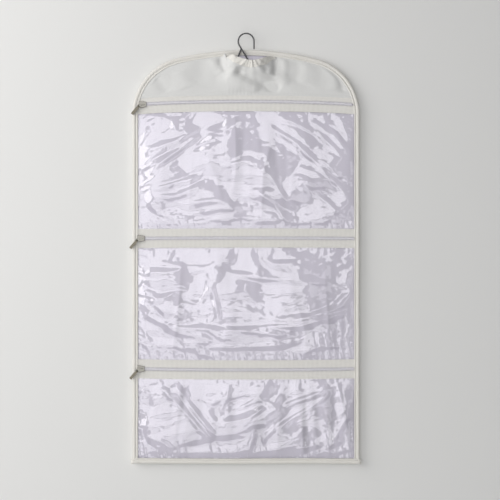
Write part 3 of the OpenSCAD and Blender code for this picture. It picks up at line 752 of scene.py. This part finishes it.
def makeBottomTape():
    def lap(x):  # it passes over the ends of the edge binding
        return bottomTape["lap"] * smooth((abs(x) - 176) / 4)

    def sway(x):
        return soft(x, 0, 120, 9, 31)

    profile = [(w * bottomTape["widen"], y) for w, y in edgeProfile]
    ends = [(bottomTape["tail"], panel["bottom"]), (-bottomTape["tail"], panel["bottom"])]
    run = evenRun(ends, bottomTape["spacing"])
    piece, length, across = foldedTape("bottomBinding", run, profile, bottomTape, False)
    middle = panel["middleY"]
    for v in piece.data.vertices:
        x, y = v.co.x / mm, v.co.y / mm
        y += -lap(x) if y < middle else lap(x)
        pinch = smooth((abs(x) - 187.2) / 2.6)  # its two tails are pressed flat
        y = middle + (y - middle) * (1 - bottomTape["pinch"] * pinch)
        v.co.y = y * mm
        droop = bottomTape["droop"] * mm * smooth((abs(x) - 182) / 8)
        v.co.z -= droop + bottomTape["sway"] * mm * sway(x)
    thicken(piece, bottomTape["thickness"])
    finishPiece(piece, bindingTape, ["bottom_binding"])
    spots = []
    x = -bottomTape["stitchEnd"]
    while x < bottomTape["stitchEnd"]:
        z = panel["bottom"] + seamInset * bottomTape["widen"] - bottomTape["sway"] * sway(x)
        spots.append(((x, bottomTape["seamFront"] - lap(x), z), (1, 0), -1))
        spots.append(((x, bottomTape["seamBack"] + lap(x), z), (1, 0), 1))
        x += bottomTape["stitchPitch"]
    sewStitches("bottomStitches", spots)


liningLook = {
    "thickness": 0.3, "columns": 190, "rows": 224, "spread": 44.0, "long": 170.0, "fullHalf": 180,
    "depth": 2.5, "lowDepth": 1.9, "full": 0.45, "fold": 0.9, "deepFold": 0.5,
}
# z of the seams that hold the lining to the front, and its y there
liningSeams = [(panel["hem"], 5.1), (zips["middle"] + 12.8, 5.5), (zips["bottom"] + 12.8, 5.5)]
panelCut = (2 * (panel["halfWidth"] - panel["rimInset"]), 680)


def panelSpot(a, b):  # x and z of a spot on a cloth that fills the whole outline
    rim = panel["rimInset"]
    x = (2 * a - 1) * (panel["halfWidth"] - rim)
    return x, panel["bottom"] + rim + (edgeHeight(x, rim) - panel["bottom"] - rim) * b


def paneShare(x, z):  # 1 in the middle of a pocket, 0 at its seams
    for low, high in windows.values():
        if low < z < high:
            m = (2 * z - low - high) / (high - low)
            return max(0, 1 - (x / liningLook["fullHalf"]) ** 2) ** 0.4 * max(0, 1 - m * m) ** 0.7
    return 0.0


def liningFront(x, z):  # y of the lining's front face
    lean = x + 0.10 * (z + 350) * math.sin(x / 70)
    folds = soft(lean, z, liningLook["spread"], liningLook["long"], 41) + 0.2 * soft(lean, z, 13, 60, 42)
    deep = 1 - 2.1 * abs(soft(lean, z, 62, 240, 43))
    folds += 0.8 * smooth((-556 - z) / 26) * soft(lean, z, 14, 130, 44)
    depth = liningLook["depth"] + liningLook["lowDepth"] * smooth((-340 - z) / 240)
    deepFold = liningLook["deepFold"] * max(0, deep) ** 3
    full = max(0, liningLook["full"] + liningLook["fold"] * folds + deepFold)
    y = panel["liningFront"] - paneShare(x, z) * depth * full
    for seamZ, seamY in liningSeams:
        if abs(z - seamZ) < 4:
            y = y + (seamY - y) * smooth((4 - abs(z - seamZ)) / 3)
    return y


def makeLining():
    def place(a, b):
        x, z = panelSpot(a, b)
        return x, liningFront(x, z), z

    piece = clothSheet("satinLining", liningLook["columns"], liningLook["rows"], place,
                       lambda a, b: (a * panelCut[0], b * panelCut[1]))
    thicken(piece, liningLook["thickness"])
    finishPiece(piece, satin, ["lining_panel"])


backLook = {"thickness": 0.42, "columns": 96, "rows": 150, "wave": 0.42, "flatRim": 22}


def makeBack():
    rim, flat = panel["rimInset"], backLook["flatRim"]

    def place(a, b):
        x, z = panelSpot(a, b)
        inside = smooth((panel["halfWidth"] - rim - abs(x)) / flat) * smooth((z - panel["bottom"]) / flat)
        inside *= smooth((edgeHeight(x, rim) - z) / flat)
        wave = 0.5 + 0.8 * soft(x, z, 70, 45, 51) + 0.35 * soft(x, z, 24, 60, 52)
        return x, panel["backFront"] + backLook["wave"] * inside * max(0, wave), z

    piece = clothSheet("backFabric", backLook["columns"], backLook["rows"], place,
                       lambda a, b: (a * panelCut[0], b * panelCut[1]))
    thicken(piece, backLook["thickness"])
    finishPiece(piece, backNylon, ["back_panel"])


def zipPart(name, side, part):  # the piece's name, and its node's
    half = "upper" if side > 0 else "lower"
    return name + half.capitalize() + part.capitalize(), name + "_" + half + "_" + part


tapeLook = {
    "thickness": 0.45, "columns": 190, "rows": 14, "topWidth": 11.0, "cutLong": 373,
    "stitchInset": 2.2, "stitchPitch": 3.6, "stitchStart": -176.0, "stitchEnd": 177, "pucker": 0.22,
}


def makeTape(name, side):
    zipZ = zips[name]
    wide = tapeLook["topWidth"] if name == "top" and side > 0 else tapeWidth  # the header covers the rest
    pieceName, node = zipPart(name, side, "tape")
    seamAt = tapeLook["stitchInset"]

    def relief(x, off):  # off is the distance from the middle of the chain
        fromEdge = wide - off
        lift = 0.14 * bell(off - tapeGap - 0.7, 0.5)
        lift += 0.20 * bell(fromEdge - 1.0, 0.8) - 0.12 * bell(fromEdge - seamAt, 0.5)
        free = smooth((off - 6) / 4)
        lift += free * (0.4 * soft(x, off * 3, 17, 12, 61 + zipZ) + 0.3 * soft(x, off * 2, 4.5, 9, 62 + zipZ))
        beat = math.cos(2 * math.pi * x / tapeLook["stitchPitch"])
        lift -= tapeLook["pucker"] * bell(fromEdge - seamAt, 1.1) * beat
        return panel["tapeFront"] - lift

    def place(a, b):
        off = tapeGap + (wide - tapeGap) * (b if side > 0 else 1 - b)
        z = zipZ + side * off
        x = (2 * a - 1) * (edgeReach(z, panel["rimInset"]) - 0.2)
        edge = 0.25 * soft(x, zipZ, 30, 9, 63) * smooth((off - 8) / 5)
        return x, relief(x, off), z + zipBow(name, x) + edge

    piece = clothSheet(pieceName, tapeLook["columns"], tapeLook["rows"], place,
                       lambda a, b: (a * tapeLook["cutLong"], (wide - tapeGap) * b))
    thicken(piece, tapeLook["thickness"])
    finishPiece(piece, zipTape, [node])
    if wide < tapeWidth:
        return
    spots, x = [], tapeLook["stitchStart"]
    while x < tapeLook["stitchEnd"]:
        off = wide - seamAt
        spots.append(((x, relief(x, off) - 0.02, zipZ + side * off + zipBow(name, x)), (1, 0), -1))
        x += tapeLook["stitchPitch"]
    sewStitches(pieceName + "Stitches", spots)


coilLook = {
    "pitch": 1.6, "wire": 0.62, "front": 2.95, "back": 4.15, "outer": 2.3, "head": -0.12, "knuckle": 1.3,
    "lean": 0.35,
}
coilEnds = {"top": (-171.35, 176.7), "middle": (-174.05, 179.4), "bottom": (-174.05, 179.4)}


def makeCoil(name, side):
    start, end = coilEnds[name]
    pieceName, node = zipPart(name, side, "coil")
    clearSelection()
    middle = (coilLook["front"] + coilLook["back"]) / 2
    bpy.ops.mesh.primitive_torus_add(
        major_segments=10, minor_segments=5, major_radius=(coilLook["back"] - coilLook["front"]) / 2 * mm,
        minor_radius=coilLook["wire"] / 2 * mm, location=(0, 0, 0), rotation=(0, math.radians(90), 0))
    coil = bpy.context.object
    coil.name = coil.data.name = pieceName
    bpy.ops.object.transform_apply(rotation=True)
    for inner, far in ((True, coilLook["head"]), (False, coilLook["outer"])):  # the ring is drawn out long
        toMode("EDIT")
        bpy.ops.mesh.select_mode(type="VERT")
        bpy.ops.mesh.select_all(action="DESELECT")
        toMode("OBJECT")
        for v in coil.data.vertices:
            v.select = (v.co.z < -1e-6) if inner else (v.co.z > 1e-6)
        toMode("EDIT")
        if inner:
            bpy.ops.transform.resize(value=(coilLook["knuckle"], 1, 1))
        bpy.ops.transform.translate(value=(0, 0, far * mm))
        toMode("OBJECT")
    for v in coil.data.vertices:
        v.co.x += (v.co.y / mm) * coilLook["lean"] * mm  # the loops lean as a wound coil's do
        v.co.z *= side
        v.co.y += middle * mm
        v.co.x += (start + coilLook["pitch"] * (0.5 if side > 0 else 1.0)) * mm
    faceOutwards(coil)
    count = math.floor((end - start) / coilLook["pitch"] - 0.8)
    useModifier(coil, "ARRAY", count=count, use_relative_offset=False, use_constant_offset=True,
                constant_offset_displace=(coilLook["pitch"] * mm, 0, 0))
    for v in coil.data.vertices:
        v.co.z += (zips[name] + zipBow(name, v.co.x / mm)) * mm
    finishPiece(coil, coilNylon, [node])


vinylLook = {
    "thickness": 0.3, "columns": 144, "frames": 12, "furthest": 2.2, "creaseWidth": 4.2, "crease": 1.25,
    "rest": 0.05, "gap": 0.5, "soften": 0.25, "seamLow": 0.25, "seamSlope": 0.17, "upperLap": 6,
    "broad": 1.9, "narrow": 0.75, "fine": 0.2, "ridge": 0.5, "swell": 2.2,  # heights of the folds
    "lowPucker": 2.0, "topPucker": 0.7, "topWave": 1.7, "sideTug": 0.8, "grain": 0.22, "corner": 0.9,
}
vinylCloth = {  # it grows by 0.6% as it settles
    "quality": 5, "mass": 0.25, "tension_stiffness": 60, "compression_stiffness": 60, "shear_stiffness": 40,
    "bending_stiffness": 8, "tension_damping": 20, "compression_damping": 20, "bending_damping": 2,
    "air_damping": 3, "pin_stiffness": 1, "shrink_min": -0.006, "shrink_max": -0.006,
}
panes = {  # pucker is for the left and the right, and the folds are drawn through given points: three points each
    "top": {
        "seed": 71, "pucker": (0.35, 0.35), "bulge": 7.0, "rows": 78, "arch": (0.0013, 0.0016), "lean": 0.0,
        "lowLap": 6.0, "cutTall": 0.2014,
        "folds": [
            ((-177, -195), (-115, -179), (-71, -156)), ((-166, -236), (-122, -200), (-73, -169)),
            ((-166, -259), (-122, -249), (-76, -236)), ((-161, -269), (-115, -267), (-66, -249)),
            ((32, -130), (117, -164), (171, -215)), ((32, -153), (84, -184), (169, -267)),
            ((79, -130), (143, -164), (166, -195)), ((-76, -200), (6, -196), (84, -205)),
            ((-45, -223), (-4, -213), (27, -220)), ((-122, -282), (-71, -276), (-19, -277)),
            ((-76, -295), (-45, -289), (-14, -288)), ((19, -262), (48, -282), (71, -313)),
            ((40, -236), (61, -267), (81, -293)), ((94, -239), (120, -267), (161, -300)),
            ((-32, -130), (-30, -146), (-35, -161)), ((-9, -130), (-8, -146), (-9, -159)),
            ((6, -133), (9, -143), (4, -156)), ((-156, -133), (-122, -143), (-115, -164)),
            ((-177, -223), (-148, -215), (-102, -190))]},
    "middle": {
        "seed": 81, "pucker": (0.6, 1.5), "bulge": 7.0, "rows": 76, "arch": (0.0, 0.0), "lean": 0.08,
        "lowLap": 6.0, "cutTall": 0.1954,
        "folds": [
            ((-174, -392), (-55, -389), (58, -405)), ((-76, -399), (6, -402), (171, -412)),
            ((-161, -376), (-71, -384), (-9, -371)), ((-57, -415), (-50, -443), (-45, -470)),
            ((-76, -443), (-67, -428), (-57, -415)), ((-179, -459), (-122, -482), (-35, -484)),
            ((-35, -484), (19, -488), (58, -492)), ((-19, -482), (84, -479), (171, -459)),
            ((-159, -443), (-135, -433), (-115, -425)), ((-148, -451), (-115, -459), (-99, -469)),
            ((-135, -479), (-115, -469), (-97, -454)), ((73, -474), (122, -459), (171, -443)),
            ((153, -474), (157, -492), (156, -510)), ((166, -459), (170, -477), (171, -495)),
            ((-66, -515), (6, -514), (94, -505)), ((22, -368), (45, -379), (86, -376)),
            ((86, -376), (94, -366), (125, -361)), ((-122, -366), (-58, -363), (-19, -356))]},
    "bottom": {
        "seed": 91, "pucker": (1.4, 1.6), "bulge": 6.0, "rows": 58, "arch": (-0.0003, 0.0), "lean": -0.25,
        "lowLap": 8.3, "cutTall": 0.1465,
        "folds": [
            ((-141, -580), (-102, -619), (-58, -670)), ((-115, -577), (-86, -619), (-55, -657)),
            ((-89, -595), (-55, -606), (-35, -593)), ((-45, -624), (-32, -598), (-27, -577)),
            ((-12, -616), (19, -598), (63, -619)), ((48, -649), (97, -619), (143, -590)),
            ((61, -611), (110, -595), (161, -575)), ((-177, -595), (-164, -582), (-115, -572)),
            ((-166, -662), (-135, -673), (-120, -686)), ((138, -680), (156, -647), (174, -624)),
            ((-40, -639), (1, -631), (32, -611)), ((6, -698), (6, -675), (14, -655)),
            ((27, -675), (32, -660), (48, -649))]},
}
paneHalf = 179.0


def vinylHeight(name, x, z):  # how far the laid sheet stands forward of its seams
    pane, seed = panes[name], panes[name]["seed"]
    low, top = windows[name]
    m = (2 * z - top - low) / (top - low)
    base = pane["bulge"] * max(0, 1 - (x / paneHalf) ** 4) ** 0.75 * (1 - abs(m) ** 2.2)
    edge = min(paneHalf - abs(x), top - z, z - low)
    if edge <= 0:
        return 0.0
    reach = 0.55 + 0.95 * smooth(edge / 24)
    v = (z - low) / (top - low)
    arch, archMore = pane["arch"]
    across = z + (arch + archMore * v) * x * x + pane["lean"] * x + 9 * soft(x, z, 70, 45, seed + 8)
    ridge = 1 - 2.4 * abs(soft(x, across, 95, 19, seed + 3))
    look = vinylLook
    folds = look["broad"] * soft(x, across, 120, 26, seed)
    folds += look["narrow"] * soft(x, across, 80, 11, seed + 1)
    fine = look["fine"] * soft(x, across, 34, 5.5, seed + 2)
    folds += fine + look["ridge"] * max(-0.4, ridge) + look["swell"] * soft(x, z, 60, 42, seed + 9)
    drawn = foldHeight(x, z, [(f, look["creaseWidth"], look["crease"]) for f in pane["folds"]])
    return max(0.12, base + reach * (folds + drawn) * (0.6 if base < 2 else 1)) * smooth(edge / 2.5)


def vinylCrimp(name, x, z):  # short puckers that rise from the seams
    seed = panes[name]["seed"]
    low, top = windows[name]
    fromSide, fromLow, fromTop = paneHalf - abs(x), z - low, top - z
    edge = min(fromSide, fromLow, fromTop)
    if edge <= 0:
        return 0.0
    look = vinylLook
    left, right = panes[name]["pucker"]
    strength = left + (right - left) * smooth((x + 60) / 120)
    tall = 6 + 20 * max(0, 0.5 + soft(x, seed, 22, 9, 99)) ** 1.5
    beat = math.sin(0.56 * (x + 0.2 * fromLow) + 3.2 * soft(x, seed, 30, 9, 98))
    uneven = max(0, 0.75 + 0.9 * soft(x, seed, 15, 9, 97))
    rise = look["lowPucker"] * strength * uneven * max(0, beat) ** 1.4 * math.exp(-fromLow / tall)
    rise += look["topPucker"] * max(0, soft(x, z, 5.0, 60, seed + 6)) * math.exp(-fromTop / 6)
    wave = look["topWave"] * soft(x + 0.3 * fromTop, fromTop, 17, 60, seed + 11)
    rise += wave * math.exp(-fromTop / 20) * smooth(fromTop / 6)
    tugs = math.sin(0.85 * (z + 0.3 * fromSide) + 4 * soft(seed, z, 9, 22, 96))
    tugged = max(0, 0.6 + soft(seed, z, 9, 30, 95))
    rise += look["sideTug"] * tugged * max(0, tugs) ** 1.4 * math.exp(-fromSide / 6.5)
    rise += look["grain"] * soft(x, z, 9, 4.5, seed + 4) * smooth(edge / 12)
    corner = look["corner"] * math.exp(-math.hypot(fromSide, min(fromLow, fromTop)) / 42)
    rise += corner * max(0, soft(x + 0.5 * z, z - 0.4 * x, 22, 7, seed + 10) + 0.15) * smooth(edge / 6)
    return rise * smooth(edge / 1.6)


def windowBow(name, x, z):  # a window follows the bow of the zipper above it and of the one below
    lower = {"top": zipBow("middle", x), "middle": zipBow("bottom", x), "bottom": 0.0}[name]
    low, top = windows[name]
    v = (z - low) / (top - low)
    return zipBow(name, x) * smooth(v) + lower * smooth(1 - v)


def makeWindow(name):
    pane = panes[name]
    low, high = windows[name][0] - pane["lowLap"], windows[name][1] + vinylLook["upperLap"]
    rim = panel["rimInset"]
    side = min(panel["halfWidth"] - rim, edgeReach(high, rim))

    def place(a, b):
        x = (2 * a - 1) * side
        z = low + (high - low) * b
        return x, panel["vinylFront"] + vinylLook["rest"] - vinylHeight(name, x, z), z + windowBow(name, x, z)

    return clothSheet(name + "Window", vinylLook["columns"], pane["rows"], place,
                      lambda a, b: (a * 2 * side, b * (high - low)))


def sewnEdges(piece, name):  # pins the vinyl where tapes and bindings hold it
    low, top = windows[name]
    group = piece.vertex_groups.new(name="sewn")
    held = []
    for v in piece.data.vertices:
        x, z = v.co.x / mm, v.co.z / mm
        if z > top - 1.5 + zipBow(name, x) or z < low + 2.0 or abs(x) > paneHalf - 1.5:
            held.append(v.index)
    group.add(held, 1.0, "REPLACE")


def settleVinyl(pieces):
    # the vinyl is a little larger than its frame, so it buckles into its folds as it settles
    for name, piece in pieces.items():
        sewnEdges(piece, name)
        pick(piece)
        bpy.ops.object.modifier_add(type="CLOTH")
        settling = piece.modifiers[-1]
        for key, value in vinylCloth.items():
            setattr(settling.settings, key, value)
        settling.settings.vertex_group_mass = "sewn"
        settling.settings.effector_weights.gravity = 0.05
        settling.collision_settings.use_collision = False
    scene = bpy.context.scene
    for step in range(1, vinylLook["frames"] + 1):
        scene.frame_set(step)
    furthest = vinylLook["furthest"] * mm
    for name, piece in pieces.items():
        before = [v.co.copy() for v in piece.data.vertices]
        pick(piece)
        bpy.ops.object.modifier_apply(modifier=piece.modifiers[-1].name)
        for v, old in zip(piece.data.vertices, before):
            move = v.co - old
            if move.length > furthest:
                v.co = old + move * (furthest / move.length)
            x, z = v.co.x / mm, v.co.z / mm
            ahead = 0.35 * panes[name]["bulge"] * paneShare(x, z)  # it stays ahead of the lining
            v.co.y = min(v.co.y, (panel["vinylFront"] + vinylLook["rest"] - ahead) * mm)
            if abs(x) > paneHalf - 1.5:
                v.co.y = old.y
    scene.frame_set(1)


def aheadOf(y, limit):  # the smaller of the two, with a soft change from one to the other
    soften = vinylLook["soften"]
    return min(y, limit) - soften * math.log(1 + math.exp(-abs(y - limit) / soften))


def makeWindows():
    pieces = {name: makeWindow(name) for name in panes}
    settleVinyl(pieces)
    for name, piece in pieces.items():
        useModifier(piece, "SUBSURF", levels=1, render_levels=1, boundary_smooth="PRESERVE_CORNERS")
        for v in piece.data.vertices:
            x, y, z = v.co.x / mm, v.co.y / mm, v.co.z / mm
            flat = z - windowBow(name, x, z)
            fromLow = flat - windows[name][0]
            if paneShare(x, flat) > 0:  # laid low at the seam below, and ahead of the lining
                low = vinylLook["seamLow"] + vinylLook["seamSlope"] * fromLow * (1 + fromLow / 9)
                y = -aheadOf(-y, low - panel["vinylFront"])
                y = aheadOf(y, liningFront(x, z) - vinylLook["gap"])
            v.co.y = (y - vinylCrimp(name, x, flat)) * mm
        thicken(piece, vinylLook["thickness"])
        finishPiece(piece, clearVinyl, [name + "_window"], angle=180)


webbingLook = {
    "width": 17.6, "thickness": 0.85, "middle": -5.57, "barZ": -52.6, "loop": 2.2, "steps": 24,
    "spacing": 0.7, "columns": 12,
    "front": [(6.42, -83.0), (6.42, -62.0), (6.3, -60.2), (5.2, -58.3)],  # y and z, up to the hook's base bar
    "back": [(3.6, -58.6), (4.6, -60.3), (4.75, -62.0), (4.75, -83.0)],   # and down from it
}


def makeWebbing():
    line = list(webbingLook["front"])
    for k in range(webbingLook["steps"] + 1):
        turn = math.radians(-52 + 25 + k * (360 - 50) / webbingLook["steps"])
        loop = webbingLook["loop"]
        line.append((loop * math.cos(turn), webbingLook["barZ"] + loop * math.sin(turn)))
    run = evenRun(line + webbingLook["back"], webbingLook["spacing"])
    rows = len(run) - 1

    def place(a, b):
        y, z, dy, dz, s = run[round(b * rows)]
        x = webbingLook["middle"] + (0.5 - a) * webbingLook["width"]
        return x, y + 0.05 * soft(x, s, 3, 3, 101), z

    piece = clothSheet("hookWebbing", webbingLook["columns"], rows, place,
                       lambda a, b: (a * webbingLook["width"], run[-1][4] * b))
    thicken(piece, webbingLook["thickness"])
    finishPiece(piece, webbing, ["hook_tab"])


def dressMetal():
    for name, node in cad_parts.items():
        finish = {"hanging_hook": steelWire, "header_stiffener": fibreBoard}.get(name)
        if name.endswith(("_slider", "_pull_link")):
            finish = sliderMetal
        if name.endswith("_pull_tab"):
            finish = pullMetal
        if finish:
            for slot in node.material_slots:
                slot.material = finish


makeHeader()
makeNeckTape()
print("stage: header")
makeEdgeTape()
makeBottomTape()
print("stage: bindings")
makeLining()
makeBack()
print("stage: lining and back")
for name in zips:
    for side in (1, -1):
        makeTape(name, side)
        makeCoil(name, side)
print("stage: zippers")
makeWindows()
print("stage: windows")
makeWebbing()
dressMetal()
print("stage: webbing and metal")
